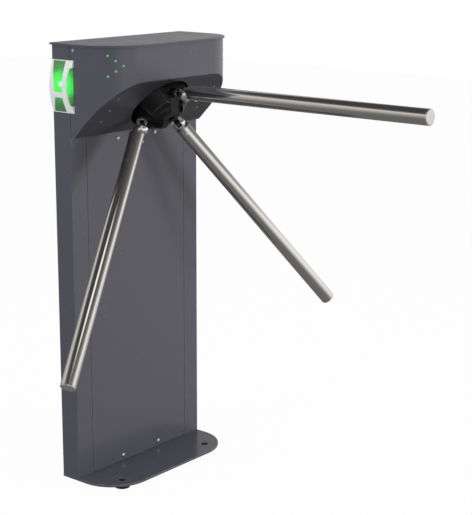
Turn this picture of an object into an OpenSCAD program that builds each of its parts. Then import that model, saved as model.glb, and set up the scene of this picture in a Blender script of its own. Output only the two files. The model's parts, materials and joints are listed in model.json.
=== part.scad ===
// Waist-high tripod turnstile: a slim column on a rounded base plate, a head
// with a sloping underside, and a hub on a tilted axis that carries three arms.
// Z is up, the arms reach towards -Y, and the origin is on the floor in the
// middle of the four anchor holes.

/* [Base] */
// Thickness of the base plate
plate_t = 6; // [4:0.5:12]
// Overhang of the base plate past each side of the column
plate_overhang = 1.5; // [0:0.5:20]
// Straight side of the base plate in front of the column
plate_side = 24; // [5:1:60]
// Corner radius of the base plate
plate_corner_r = 95; // [60:1:130]
// Height of the rubber foot rings
foot_h = 12; // [8:0.5:20]
// Diameter of the rubber foot rings
foot_d = 36; // [30:1:44]
// Diameter of the anchor holes
anchor_hole_d = 18; // [12:0.5:22]
// Distance of the anchor holes from the plate's sides
anchor_inset = 64.5; // [56:0.5:80]
// Anchor spacing along the arms
anchor_pitch_y = 104; // [96:1:120]
// Diameter of the cable hole under the column
cable_hole_d = 38; // [24:1:42]

/* [Column] */
// Width of the column
column_w = 420; // [390:1:450]
// Depth of the column
column_d = 52; // [50:1:60]
// Height of the column above the base plate
column_h = 1000; // [940:1:1100]
// Sheet thickness of the column
sheet_t = 2; // [1.5:0.1:3]
// Width of each front strip beside the panel
front_lip = 47.5; // [40:0.5:60]
// Thickness of the column's foot flange
foot_flange_t = 4; // [3:0.5:8]

/* [Front panel] */
// Visible seam round the front panel
panel_seam = 0.8; // [0.3:0.1:2]
// Depth of the panel's folded edges
panel_fold = 12; // [6:1:20]
// Distance of the panel screws from the middle
panel_screw_x = 62; // [30:1:120]
// Height of the lower panel screws above the base plate
panel_screw_low = 14; // [12:0.5:30]
// Distance of the upper panel screws below the head
panel_screw_high = 16; // [14:0.5:40]
// Head diameter of the panel screws
screw_head_d = 9; // [7:0.5:12]
// Thread diameter of the panel screws
screw_d = 5; // [4:0.5:6]

/* [Head] */
// Height of the head from its lower edge to the column's top
head_h = 202; // [190:1:230]
// Distance of the head's lower edge in front of the column
slope_lead = 9; // [6:0.5:20]
// Straight cheek of the head in front of the column
cheek_d = 39; // [30:1:60]
// Corner radius of the head
head_corner_r = 96; // [80:1:120]
// Sheet thickness of the head cover
cover_t = 2; // [1.5:0.1:3]
// Open seam between the head cover and the column's sides
cover_seam = 1; // [0:0.1:1.5]
// Thickness of the sloping underside plate
underside_t = 2; // [1.5:0.1:3]
// Diameter of the hub opening in the underside plate
hub_opening_d = 150; // [146:1:160]
// Thickness of the top lid
lid_t = 4.5; // [3:0.5:8]
// Overhang of the top lid
lid_overhang = 4; // [1:0.5:8]

/* [Side lights] */
// Length of a side light along the column's side
light_len = 64.5; // [55:0.5:66]
// Height of a side light
light_h = 115; // [90:1:130]
// Distance of a side light's upper edge below the column's top
light_drop = 31.5; // [20:0.5:50]
// Bulge of a side light at its middle
light_bulge = 13; // [9:0.5:18]
// Thickness of the white bezel
bezel_t = 4; // [2.5:0.5:6]
// Wall of the coloured lens
lens_t = 2.5; // [1.5:0.5:3]

/* [Arrow lights] */
// Diameter of one light
led_d = 5; // [3:0.5:6]
// Height step from light to light
led_step_z = 11.1; // [9:0.1:13]
// Sideways step from light to light
led_step_s = 17; // [10:0.5:20]
// Turn of the arrow round the head's corner
led_turn = 48; // [40:1:50]
// Depth of the arrow's tip below the column's top
led_drop = 39.6; // [32:0.1:60]

/* [Hub] */
// Tilt of the hub axis below the horizontal
hub_tilt = 45; // [43:0.5:47]
// Distance of the hub axis from the slope's lower edge
hub_offset = 90; // [86:1:94]
// Radius of the hub where it passes the opening
hub_r = 70; // [66:0.5:71]
// Height of the hub's nose outside the slope
nose_h = 48; // [42:1:50]
// Radius of the hub's nose
nose_r = 40; // [34:1:44]
// Rounding of the nose edge
nose_round = 11; // [6:0.5:14]
// Width of the three arm slots
slot_w = 37; // [36:0.5:42]
// Thickness of the pivot lugs
lug_t = 12; // [9:0.5:14]
// Diameter of the pivot pins
pin_d = 10; // [8:0.5:12]

/* [Arms] */
// Length of an arm from the hub axis to its tip
arm_reach = 742; // [600:1:760]
// Outer diameter of an arm tube
tube_d = 33.7; // [30:0.1:34]
// Wall of an arm tube
tube_t = 2; // [1.5:0.1:3]
// Distance from the hub axis to the pivot, along the arm
pivot_station = 97; // [94:0.5:99]
// Distance of the pivot from the arm's centre line
pivot_offset = 4; // [3:0.5:5]
// Thickness of the end cap's flange
cap_flange_t = 3; // [2:0.5:6]

/* [Shaft and bearings] */
// Diameter of the hub shaft
shaft_d = 25; // [20:0.5:28]
// Outer diameter of the bearings
bearing_od = 52; // [48:1:56]
// Width of the bearings
bearing_w = 15; // [12:0.5:16]

/* [Lock] */
// Radius of the lock wheel
wheel_r = 58; // [54:1:60]
// Thickness of the lock wheel
wheel_t = 8; // [6:0.5:10]
// Number of slots in the lock wheel
wheel_slots = 12; // [12:12:24]
// Diameter of the lock bolts
bolt_d = 8; // [6:0.5:8]
// Travel of the lock bolts
bolt_travel = 8; // [6:0.5:8]
// Side of the square solenoids
solenoid_size = 36; // [32:1:38]

/* [Hidden] */
$fn = 64;

// General values
over = 1;             // overrun of every cut past its face
fit = 0.02;           // radial clearance of a pressed or threaded fit
run = 0.1;            // radial clearance of a running fit
gap = 0.3;            // clearance between pieces that only lie close
screw_hole_extra = 0.5;
socket_share = 0.5;   // width of a screw's hexagon socket as a share of its head

// Heights and planes of the housing
plate_w = column_w + 2 * plate_overhang;
anchor_pitch_x = plate_w - 2 * anchor_inset;
plate_top = foot_h + plate_t;
front_y = anchor_pitch_y / 2 - column_d / 2;
back_y = front_y + column_d;
slope_y = front_y - slope_lead;
side_y = front_y - cheek_d;
head_front_y = side_y - head_corner_r;
column_top = plate_top + column_h;
slope_z = column_top - head_h;
reach = column_w + column_h;   // longer than any piece, for half-space cuts

// Base plate and column foot
plate_side_y = front_y - plate_side;
column_bolt_d = 8;
column_bolt_head_d = 13;
column_bolt_head_h = 5.3;
column_bolt_x = 95;
column_bolt_inset = 14;
grommet_wall = 5;
grommet_lip_t = 2.5;
grommet_lip_w = 4;

// Rails behind the front panel and tabs for the head cover
rail_h = 24;
rail_t = 3;
rail_inset = 8;
rail_low = plate_top + foot_flange_t + grommet_lip_t + gap;
panel_above_slope = 12;
tab_t = 3;
tab_len = 30;
tab_h = 26;
cover_screw_y = 13;
cover_screw_drop = 10;
screw_head_h = 2.5;
screw_reach = 8;

// Underside screws: three a side, spread evenly up the slope
underside_screw_inset = 50;
underside_screw_x = column_w / 2 - underside_screw_inset;
underside_screw_low = 50;
underside_screw_step = 37.7;
underside_screw_count = 3;
small_head_d = 7;
small_head_h = 1.6;
small_screw_d = 4;
ledge_t = 3;
ledge_w = 14;

// Lid tabs
lid_tab_w = 30;
lid_tab_h = 14;
lid_tab_t = 2;
lid_tab_inset = 90;
lid_tab_x = column_w / 2 - lid_tab_inset;
lid_screw_drop = 8;

// Side lights
light_end_t = 1.5;
light_lead = 15;
light_y = front_y - light_lead;
light_z = column_top - light_drop - light_h;
light_wire_hole_d = 8;
bezel_end_band = 2;
bezel_foot_t = 3;
bezel_foot_h = 16;
bezel_bar_low = 33.5;
bezel_bar_high = 44.5;
bezel_near_end_w = 22;
bezel_near_mid_w = 27;
bezel_far_end_w = 5.5;
bezel_far_mid_w = 14;
bezel_waist = 13;
light_board_t = 1.6;
light_chip = 3;
light_chip_t = 1;
light_chip_count = 6;

// Arrow lights
led_len = 9;
led_proud = 1;
led_flange_w = 0.5;
led_flange_t = 1;
arrow_board_w = 46;
arrow_board_h = 58;
arrow_board_t = 1.6;
arrow_stud_d = 5;
led_step_shares = [[-1, 2], [-1, -2], [0, 1], [0, -1], [1, 0]];

// Hub
arm_spread = hub_tilt;
apex_depth = 44;
hub_back = 18;
hub_back_round = 3;
slot_floor = 19;
facet_r = 55;
facet_tilt = 19.5;
lug_foot = 30;
lug_eye_r = 11;
hub_bolt_d = 10;
hub_bolt_head_d = 16;
hub_bolt_head_h = 8;
hub_bolt_recess_r = 9.5;
hub_bolt_hex_d = 9.2;
hub_bolt_hex_h = 5;
shaft_top = 30;
hub_web = 8;
hub_bolt_len = 26;
shoulder_h = 30;
shoulder_r = 55;

// Knuckles, tubes and caps, measured along the arm from the pivot's station
ear_t = 7;
ear_r = 12;
fork_clear = 0.3;
fork_floor = 15.5;
ball_r = 15.5;
ball_station = 12;
ball_offset = 7;
neck_r = 11;
tube_start = 28;
spigot_end = 58;
spigot_clear = 0.1;
pin_len = 21.5;
pin_socket_h = 4;
pin_socket_share = 0.6;
arm_screw_station = 42;
arm_screw_head_d = 8;
arm_screw_head_h = 2.2;
arm_screw_reach = 9;
cap_plug_len = 18;
cap_plug_wall = 2;
cap_edge = 1;

// Shaft, bearings and housing, measured along the hub axis from the slope
housing_front = -26;
housing_len = 48;
housing_wall = 6;
housing_lip = 4;
housing_flange_r = 52;
housing_flange_t = 8;
housing_flange_back = -40;
housing_bolt_d = 8;
housing_bolt_circle_r = 42;
housing_bolt_head_d = 13;
housing_bolt_head_h = 5;
housing_bolt_count = 4;
ring_t = 4;
frame_front = housing_flange_back;
frame_t = 6;
frame_up = 95;
frame_down = 92;
side_t = 4;
rear_plate_h = -104;
rear_plate_t = 4;
rear_plate_up = 60;
rear_plate_down = 58;
rear_bore_r = 17;
back_flange_w = 22;
back_flange_t = 4;
back_flange_drop = 22;
back_flange_h = 130;
back_flange_high = column_top - back_flange_drop;
back_flange_low = back_flange_high - back_flange_h;
frame_bolt_d = 8;
frame_bolt_head_d = 13;
frame_bolt_head_h = 5;
frame_bolt_inset = 14;

// Lock wheel, bolts and solenoids
wheel_mid = rear_plate_h + solenoid_size / 2;
wheel_slot_clear = 0.4;
wheel_slot_depth = 9;
wheel_boss_r = 16;
magnet_d = 10;
magnet_t = 3;
magnet_r = 38;
magnet_count = 3;
magnet_gap = 1;
post_r = 7;
nut_t = 8;
nut_r = 17;
shaft_tail_r = 8;
shaft_tail_len = 12;
bolt_rest_gap = 1;
bolt_knob_r = 7;
bolt_knob_t = 3;
solenoid_gap = 4;
solenoid_len = 30;
coil_wall = 4;
knob_stand = solenoid_gap + solenoid_len + bolt_travel + gap;
frame_side_gap = 3.7;
frame_w = 2 * (wheel_r + bolt_rest_gap + knob_stand + bolt_knob_t + frame_side_gap + side_t);

// Damper and sensors
damper_r = 28;
damper_len = 22;
damper_ear_r = 36;
damper_ear_t = 4;
sensor_d = 12;
sensor_nut_d = 19;
sensor_nut_t = 4;
sensor_r = 50;
sensor_turn = 30;
sensor_gap = 1;
sensor_tail = 16;

// Electrics on the column's back wall
board_w = 150;
board_h = 110;
board_t = 1.6;
board_low_share = 0.542;
board_low = plate_top + column_h * board_low_share;
board_stand = 10;
board_pillar_d = 6;
board_pillar_inset = 6;
relay_w = 18;
relay_d = 14;
relay_h = 24;
relay_count = 4;
terminal_w = 90;
terminal_h = 12;
terminal_d = 11;
supply_w = 110;
supply_h = 150;
supply_d = 34;
supply_low_share = 0.312;
supply_low = plate_top + column_h * supply_low_share;
supply_slot_w = 3;
supply_slot_count = 9;
supply_slot_depth = 2;

// Places in the frames of the slope, the hub and an arm
module at_slope() {
    translate([0, slope_y, slope_z]) rotate([90 + hub_tilt, 0, 0]) children();
}

module at_hub() {
    at_slope() translate([0, hub_offset, 0]) children();
}

module at_arm(i) {
    at_hub() rotate([0, 0, -120 * i])
        translate([0, pivot_station * sin(arm_spread), pivot_station * cos(arm_spread) - apex_depth])
            rotate([-arm_spread, 0, 0]) children();
}

// Global height and depth of a point in the hub frame
function hub_y(u, h) = slope_y - (hub_offset + u) * sin(hub_tilt) - h * cos(hub_tilt);
function hub_z(u, h) = slope_z + (hub_offset + u) * cos(hub_tilt) - h * sin(hub_tilt);

// Plan outline with a straight back and two rounded front corners
module d_outline(width, rear, side, corner, inset = 0) {
    intersection() {
        translate([inset - width / 2, side - corner + inset])
            square([width - 2 * inset, rear - side + corner - 2 * inset]);
        union() {
            translate([-width / 2, side]) square([width, rear - side]);
            translate([corner - width / 2, side - corner])
                square([width - 2 * corner, rear - side + corner]);
            for (s = [-1, 1]) translate([s * (width / 2 - corner), side])
                circle(r = corner - inset, $fn = 128);
        }
    }
}

// Places an outline of the Y-Z plane as a plate of thickness t, from x upwards
module yz_plate(x, t) {
    translate([x, 0, 0]) rotate([90, 0, 90]) linear_extrude(t) children();
}

// Everything on the inner side of the slope's plane, sunk by depth
module behind_slope(depth = 0) {
    at_slope() translate([-reach, -reach, -reach - depth]) cube([2 * reach, 2 * reach, reach]);
}

module at_anchors() {
    for (x = [-1, 1], y = [-1, 1]) translate([x * anchor_pitch_x / 2, y * anchor_pitch_y / 2, 0]) children();
}

module at_column_bolts() {
    for (x = [-1, 1], y = [front_y + column_bolt_inset, back_y - column_bolt_inset])
        translate([x * column_bolt_x, y, 0]) children();
}

// Button-head screw standing on z = 0 with its thread below
module button_screw(head_d, head_h, thread_d, len) {
    difference() {
        union() {
            intersection() {
                cylinder(d = head_d, h = head_h);
                translate([0, 0, head_h - head_d]) sphere(r = head_d);
            }
            translate([0, 0, -len]) cylinder(d = thread_d, h = len + head_h / 2);
        }
        translate([0, 0, head_h / 3]) cylinder(d = head_d * socket_share, h = head_h, $fn = 6);
    }
}

module hex_bolt(head_d, head_h, thread_d, len) {
    cylinder(d = head_d * 2 / sqrt(3), h = head_h, $fn = 6);
    translate([0, 0, -len]) cylinder(d = thread_d, h = len);
}

// Base
module base_plate() {
    color("dimgray") difference() {
        translate([0, 0, foot_h]) linear_extrude(plate_t)
            d_outline(plate_w, back_y, plate_side_y, plate_corner_r);
        at_anchors() translate([0, 0, foot_h - over])
            cylinder(d = anchor_hole_d, h = plate_t + 2 * over);
        translate([0, back_y - column_d / 2, foot_h - over])
            cylinder(d = cable_hole_d, h = plate_t + 2 * over);
        at_column_bolts() translate([0, 0, foot_h - over])
            cylinder(d = column_bolt_d + 2 * fit, h = plate_t + 2 * over);
    }
}

module foot_rings() {
    color("black") at_anchors() difference() {
        cylinder(d = foot_d, h = foot_h);
        translate([0, 0, -over]) cylinder(d = anchor_hole_d, h = foot_h + 2 * over);
    }
}

module cable_grommet() {
    flange_top = plate_top + foot_flange_t;
    color("black") translate([0, back_y - column_d / 2, 0]) difference() {
        union() {
            translate([0, 0, foot_h])
                cylinder(d = cable_hole_d - 2 * fit, h = flange_top - foot_h + grommet_lip_t);
            translate([0, 0, flange_top])
                cylinder(d = cable_hole_d + 2 * grommet_lip_w, h = grommet_lip_t);
        }
        translate([0, 0, foot_h - over])
            cylinder(d = cable_hole_d - 2 * grommet_wall,
                h = flange_top - foot_h + grommet_lip_t + 2 * over);
    }
}

// Column
module rail(low, high) {
    translate([rail_inset - column_w / 2 + sheet_t, front_y + sheet_t, low])
        cube([column_w - 2 * (rail_inset + sheet_t), rail_t, high - low]);
}

module at_panel_screws() {
    for (x = [-1, 1], z = [plate_top + panel_screw_low, slope_z - panel_screw_high])
        translate([x * panel_screw_x, front_y, z]) rotate([90, 0, 0]) children();
}

module at_cover_screws() {
    for (s = [-1, 1]) translate([s * column_w / 2, cover_screw_y, column_top - cover_screw_drop])
        rotate([0, s * 90, 0]) children();
}

module at_frame_bolts() {
    for (s = [-1, 1], z = [back_flange_low + frame_bolt_inset, back_flange_high - frame_bolt_inset])
        translate([s * (frame_w + back_flange_w) / 2, back_y - sheet_t, z]) rotate([90, 0, 0]) children();
}

module at_lid_screws() {
    for (s = [-1, 1]) translate([s * lid_tab_x, back_y, column_top - lid_screw_drop])
        rotate([-90, 0, 0]) children();
}

module column_shell() {
    color("dimgray") difference() {
        union() {
            translate([0, 0, plate_top]) linear_extrude(column_h) difference() {
                translate([-column_w / 2, front_y]) square([column_w, column_d]);
                translate([sheet_t - column_w / 2, front_y + sheet_t])
                    square([column_w - 2 * sheet_t, column_d - 2 * sheet_t]);
                translate([front_lip - column_w / 2, front_y - over])
                    square([column_w - 2 * front_lip, sheet_t + 2 * over]);
            }
            translate([sheet_t - column_w / 2, front_y + sheet_t, plate_top])
                cube([column_w - 2 * sheet_t, column_d - 2 * sheet_t, foot_flange_t]);
            rail(rail_low, plate_top + panel_screw_low + rail_h / 2);
            rail(slope_z - panel_screw_high - rail_h / 2, slope_z - panel_screw_high + rail_h / 2);
            for (s = [-1, 1]) translate([s * (column_w / 2 - cover_t - gap - tab_t / 2) - tab_t / 2,
                front_y - tab_len, column_top - lid_tab_t - tab_h]) cube([tab_t, tab_len + sheet_t, tab_h]);
        }
        at_anchors() translate([0, 0, plate_top - over]) cylinder(d = foot_d, h = foot_flange_t + 2 * over);
        translate([0, back_y - column_d / 2, plate_top - over])
            cylinder(d = cable_hole_d, h = foot_flange_t + 2 * over);
        at_column_bolts() translate([0, 0, plate_top - over])
            cylinder(d = column_bolt_d + screw_hole_extra, h = foot_flange_t + 2 * over);
        at_panel_screws() translate([0, 0, -column_d / 2])
            cylinder(d = screw_d + 2 * fit, h = column_d / 2 + over);
        at_cover_screws() translate([0, 0, -screw_reach - over])
            cylinder(d = small_screw_d + 2 * fit, h = screw_reach + 2 * over);
        at_frame_bolts() translate([0, 0, -sheet_t - over])
            cylinder(d = frame_bolt_d + 2 * fit, h = sheet_t + 2 * over);
        at_lid_screws() translate([0, 0, -sheet_t - over])
            cylinder(d = screw_d + screw_hole_extra, h = sheet_t + 2 * over);
        translate([-column_w / 2 - over, light_y + light_len / 2, light_z + light_h / 2]) rotate([0, 90, 0])
            cylinder(d = light_wire_hole_d, h = column_w + 2 * over);
    }
}

module column_bolts() {
    color("silver") at_column_bolts() translate([0, 0, plate_top + foot_flange_t])
        hex_bolt(column_bolt_head_d, column_bolt_head_h, column_bolt_d, foot_flange_t + plate_t);
}

// Front panel with folded long edges between the two rails
module front_panel() {
    half = column_w / 2 - front_lip - panel_seam;
    fold_low = plate_top + panel_screw_low + rail_h / 2 + over;
    fold_high = slope_z - panel_screw_high - rail_h / 2 - over;
    color("dimgray") difference() {
        union() {
            translate([-half, front_y, plate_top + panel_seam])
                cube([2 * half, sheet_t, slope_z + panel_above_slope - plate_top - panel_seam]);
            for (s = [-1, 1]) translate([s * (half - sheet_t / 2) - sheet_t / 2, front_y, fold_low])
                cube([sheet_t, panel_fold, fold_high - fold_low]);
        }
        at_panel_screws() translate([0, 0, -sheet_t - over])
            cylinder(d = screw_d + screw_hole_extra, h = sheet_t + 2 * over);
    }
}

module panel_screws() {
    color("silver") at_panel_screws() button_screw(screw_head_d, screw_head_h, screw_d, screw_reach);
}

// Head
module at_leds(s) {
    translate([s * (column_w / 2 - head_corner_r), side_y, column_top - led_drop])
        rotate([0, 0, s > 0 ? -led_turn : led_turn - 180]) children();
}

// One light's axis, leaving the corner along +X, with z the height
module at_led(place, s) {
    translate([0, -s * place[0] * led_step_s, place[1] * led_step_z]) rotate([0, 90, 0]) children();
}

function led_skin(place) = sqrt(pow(head_corner_r, 2) - pow(place[0] * led_step_s, 2));

// Ledges inside the cover that carry the underside plate at its two sides
module ledges() {
    inner = underside_screw_x - ledge_w / 2;
    low = underside_screw_low - ledge_w / 2;
    intersection() {
        translate([0, 0, slope_z]) linear_extrude(column_top - slope_z)
            d_outline(column_w, front_y, side_y, head_corner_r, cover_t / 2);
        at_slope() for (s = [-1, 1])
            translate([s * (inner + column_w / 4) - column_w / 4, low, -underside_t - ledge_t])
                cube([column_w / 2, (underside_screw_count - 1) * underside_screw_step + ledge_w, ledge_t]);
    }
}

module head_cover() {
    color("dimgray") difference() {
        union() {
            intersection() {
                translate([0, 0, slope_z]) linear_extrude(column_top - slope_z) difference() {
                    d_outline(column_w, front_y - cover_seam, side_y, head_corner_r);
                    d_outline(column_w, front_y + cover_t + over, side_y, head_corner_r, cover_t);
                }
                behind_slope();
            }
            ledges();
        }
        at_underside_screws() translate([0, 0, -underside_t - ledge_t - over])
            cylinder(d = small_screw_d + 2 * fit, h = ledge_t + 2 * over);
        at_cover_screws() translate([0, 0, -cover_t - over])
            cylinder(d = small_screw_d + screw_hole_extra, h = cover_t + 2 * over);
        for (s = [-1, 1]) at_leds(s) for (place = led_step_shares) at_led(place, s)
            translate([0, 0, head_corner_r - led_len - over])
                cylinder(d = led_d + 2 * run, h = led_len + led_proud + 2 * over);
    }
}

module cover_screws() {
    color("silver") at_cover_screws()
        button_screw(small_head_d, small_head_h, small_screw_d, screw_reach);
}

module at_underside_screws() {
    for (s = [-1, 1], i = [0 : underside_screw_count - 1]) at_slope()
        translate([s * underside_screw_x, underside_screw_low + i * underside_screw_step, 0]) children();
}

// Sloping plate inside the cover's cut edge, with a level flange back to the panel
module underside_plate() {
    color([0.2, 0.2, 0.21]) difference() {
        union() {
            intersection() {
                translate([0, 0, slope_z]) linear_extrude(column_top - slope_z)
                    d_outline(column_w, front_y, side_y, head_corner_r, cover_t + gap);
                difference() {
                    behind_slope();
                    behind_slope(underside_t);
                }
            }
            translate([cover_t + gap - column_w / 2, slope_y, slope_z])
                cube([column_w - 2 * (cover_t + gap), slope_lead - gap, underside_t]);
        }
        at_hub() translate([0, 0, -underside_t - over])
            cylinder(d = hub_opening_d, h = underside_t + 2 * over, $fn = 128);
        at_underside_screws() translate([0, 0, -underside_t - over])
            cylinder(d = small_screw_d + screw_hole_extra, h = underside_t + 2 * over);
    }
}

module underside_screws() {
    color("silver") at_underside_screws()
        button_screw(small_head_d, small_head_h, small_screw_d, screw_reach);
}

module top_lid() {
    color("gray") difference() {
        union() {
            translate([0, 0, column_top]) linear_extrude(lid_t)
                d_outline(column_w + 2 * lid_overhang, back_y + lid_overhang, side_y,
                    head_corner_r + lid_overhang);
            for (s = [-1, 1]) {
                translate([s * lid_tab_x - lid_tab_w / 2, back_y - sheet_t - lid_tab_t - gap,
                    column_top - lid_tab_h]) cube([lid_tab_w, lid_tab_t, lid_tab_h]);
                translate([s * lid_tab_x / 2 - lid_tab_w / 2, head_front_y + cover_t + gap,
                    column_top - lid_tab_h]) cube([lid_tab_w, lid_tab_t, lid_tab_h]);
            }
        }
        at_lid_screws() translate([0, 0, -screw_reach - over])
            cylinder(d = screw_d + 2 * fit, h = screw_reach + over - sheet_t);
    }
}

module lid_screws() {
    color("silver") at_lid_screws() button_screw(screw_head_d, screw_head_h, screw_d, screw_reach);
}

// Side lights: an arched lens under a white bezel with two windows
function arc_r_of(rise, half) = (half * half + rise * rise) / (2 * rise);

module light_arc(rise, flat) {
    arc_r = arc_r_of(rise, light_h / 2);
    intersection() {
        translate([0, light_h / 2]) square([light_h, light_h], center = true);
        translate([flat + rise - arc_r, light_h / 2]) circle(r = arc_r, $fn = 256);
        square([light_bulge + over, light_h]);
    }
    square([flat, light_h]);
}

// Puts an outline with x outwards and y upwards on the left (s = -1) or right side
module on_side(s, from, len) {
    mirror([s > 0 ? 0 : 1, 0, 0]) translate([column_w / 2, from + len, light_z])
        rotate([90, 0, 0]) linear_extrude(len) children();
}

// Window of the bezel between two heights, in y and z of the side, wider at its end
module bezel_window(low, high, low_flare, high_flare) {
    near_low = bezel_near_mid_w + (bezel_near_end_w - bezel_near_mid_w) * low_flare;
    near_high = bezel_near_mid_w + (bezel_near_end_w - bezel_near_mid_w) * high_flare;
    far_low = bezel_far_mid_w + (bezel_far_end_w - bezel_far_mid_w) * low_flare;
    far_high = bezel_far_mid_w + (bezel_far_end_w - bezel_far_mid_w) * high_flare;
    polygon([
        [near_low, low],
        [light_len - far_low, low],
        [light_len - far_high, high],
        [near_high, high]
    ]);
}

module bezel(s) {
    waist_r = arc_r_of(bezel_waist, light_h / 2);
    difference() {
        on_side(s, light_y, light_len) light_arc(light_bulge - light_end_t, light_end_t);
        difference() {
            on_side(s, light_y - over, light_len + 2 * over)
                light_arc(light_bulge - light_end_t - bezel_t, light_end_t);
            for (z = [light_z - over, light_z + light_h - bezel_end_band])
                translate([-column_w, light_y - 2 * over, z])
                    cube([2 * column_w, light_len + 4 * over, bezel_end_band + over]);
            for (z = [light_z - over, light_z + light_h - bezel_foot_h])
                translate([-column_w, light_y - 2 * over, z])
                    cube([2 * column_w, bezel_foot_t + 2 * over, bezel_foot_h + over]);
        }
        yz_plate(s > 0 ? column_w / 2 - over : -column_w / 2 - light_bulge - over, light_bulge + 2 * over)
            translate([light_y, light_z]) {
                bezel_window(bezel_end_band, bezel_bar_low, 1, 0);
                bezel_window(bezel_bar_high, light_h - bezel_end_band, 0, 1);
                intersection() {
                    translate([bezel_waist - waist_r, light_h / 2]) circle(r = waist_r, $fn = 256);
                    translate([-bezel_waist, bezel_foot_h])
                        square([2 * bezel_waist, light_h - 2 * bezel_foot_h]);
                }
            }
    }
}

module lens(s) {
    inset = bezel_end_band + gap;
    rise = light_bulge - light_end_t - bezel_t - gap;
    from = light_y + bezel_foot_t;
    len = light_len - bezel_foot_t;
    intersection() {
        difference() {
            on_side(s, from + gap, len - 2 * gap) light_arc(rise, light_end_t);
            on_side(s, from + lens_t, len - 2 * lens_t) light_arc(rise - lens_t, light_end_t);
        }
        translate([-column_w, from, light_z + inset]) cube([2 * column_w, len, light_h - 2 * inset]);
    }
}

module light_board(s) {
    inset = bezel_end_band + 2 * lens_t;
    from = light_y + bezel_foot_t + lens_t + gap;
    len = light_y + light_len - lens_t - gap - from;
    mirror([s > 0 ? 0 : 1, 0, 0]) {
        translate([column_w / 2, from, light_z + inset])
            cube([light_board_t, len, light_h - 2 * inset]);
        for (i = [0 : light_chip_count - 1])
            translate([column_w / 2 + light_board_t, light_y + light_len / 2 - light_chip / 2,
                light_z + light_h * (i + 1) / (light_chip_count + 1) - light_chip / 2])
                cube([light_chip_t, light_chip, light_chip]);
    }
}

module bezel_left() { color("whitesmoke") bezel(-1); }
module bezel_right() { color("whitesmoke") bezel(1); }
module lens_left() { color("limegreen") lens(-1); }
module lens_right() { color("limegreen") lens(1); }
module light_board_left() { color("green") light_board(-1); }
module light_board_right() { color("green") light_board(1); }

// Arrow lights in the rounded corners, on a board behind them
module arrow_lights(s) {
    at_leds(s) for (place = led_step_shares) at_led(place, s) {
        skin = led_skin(place);
        board = head_corner_r - led_len;
        translate([0, 0, board]) {
            cylinder(d = led_d, h = skin + led_proud - board - led_d / 2);
            cylinder(d = led_d + 2 * led_flange_w, h = led_flange_t);
        }
        translate([0, 0, skin + led_proud - led_d / 2]) sphere(d = led_d);
    }
}

module arrow_board(s) {
    depth = head_corner_r - led_len;
    at_leds(s) {
        translate([depth - arrow_board_t, -arrow_board_w / 2, -arrow_board_h / 2])
            cube([arrow_board_t, arrow_board_w, arrow_board_h]);
        for (z = [-1, 1]) translate([depth, 0, z * (arrow_board_h / 2 - arrow_stud_d)]) rotate([0, 90, 0])
            cylinder(d = arrow_stud_d, h = led_len - cover_t - gap);
    }
}

module arrow_lights_left() { color("lightgreen") arrow_lights(-1); }
module arrow_lights_right() { color("lightgreen") arrow_lights(1); }
module arrow_board_left() { color("green") arrow_board(-1); }
module arrow_board_right() { color("green") arrow_board(1); }

// Mechanism frame: sloping front plate, two side plates, rear plate and back flanges
module at_housing_bolts() {
    for (i = [0 : housing_bolt_count - 1]) rotate([0, 0, (i + 0.5) * 360 / housing_bolt_count])
        translate([housing_bolt_circle_r, 0, 0]) children();
}

module mechanism_frame() {
    inner = back_y - sheet_t;
    root = frame_front - frame_t / 2;
    color("slategray") difference() {
        union() {
            at_hub() translate([-frame_w / 2, -frame_down, frame_front - frame_t])
                cube([frame_w, frame_up + frame_down, frame_t]);
            at_hub() translate([side_t - frame_w / 2, -rear_plate_down, rear_plate_h - rear_plate_t])
                cube([frame_w - 2 * side_t, rear_plate_up + rear_plate_down, rear_plate_t]);
            for (s = [-1, 1]) {
                yz_plate(s * (frame_w - side_t) / 2 - side_t / 2, side_t) polygon([
                    [hub_y(-frame_down, root), hub_z(-frame_down, root)],
                    [inner, back_flange_low],
                    [inner, back_flange_high],
                    [hub_y(frame_up, root), hub_z(frame_up, root)]
                ]);
                translate([s * (frame_w + back_flange_w) / 2 - back_flange_w / 2, inner - back_flange_t,
                    back_flange_low])
                    cube([back_flange_w, back_flange_t, back_flange_high - back_flange_low]);
            }
        }
        at_hub() {
            translate([0, 0, frame_front - frame_t - over])
                cylinder(r = bearing_od / 2 + housing_wall + fit, h = frame_t + 2 * over);
            at_housing_bolts() translate([0, 0, frame_front - frame_t - over])
                cylinder(d = housing_bolt_d + 2 * fit, h = frame_t + 2 * over);
            translate([0, 0, rear_plate_h - rear_plate_t - over])
                cylinder(r = rear_bore_r, h = rear_plate_t + 2 * over);
            at_sensors() translate([0, 0, rear_plate_h - rear_plate_t - over])
                cylinder(d = sensor_d + 2 * fit, h = rear_plate_t + 2 * over);
        }
        at_frame_bolts() translate([0, 0, -over])
            cylinder(d = frame_bolt_d + screw_hole_extra, h = back_flange_t + 2 * over);
    }
}

module frame_bolts() {
    color("silver") at_frame_bolts() translate([0, 0, back_flange_t])
        hex_bolt(frame_bolt_head_d, frame_bolt_head_h, frame_bolt_d, back_flange_t + sheet_t);
}

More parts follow.
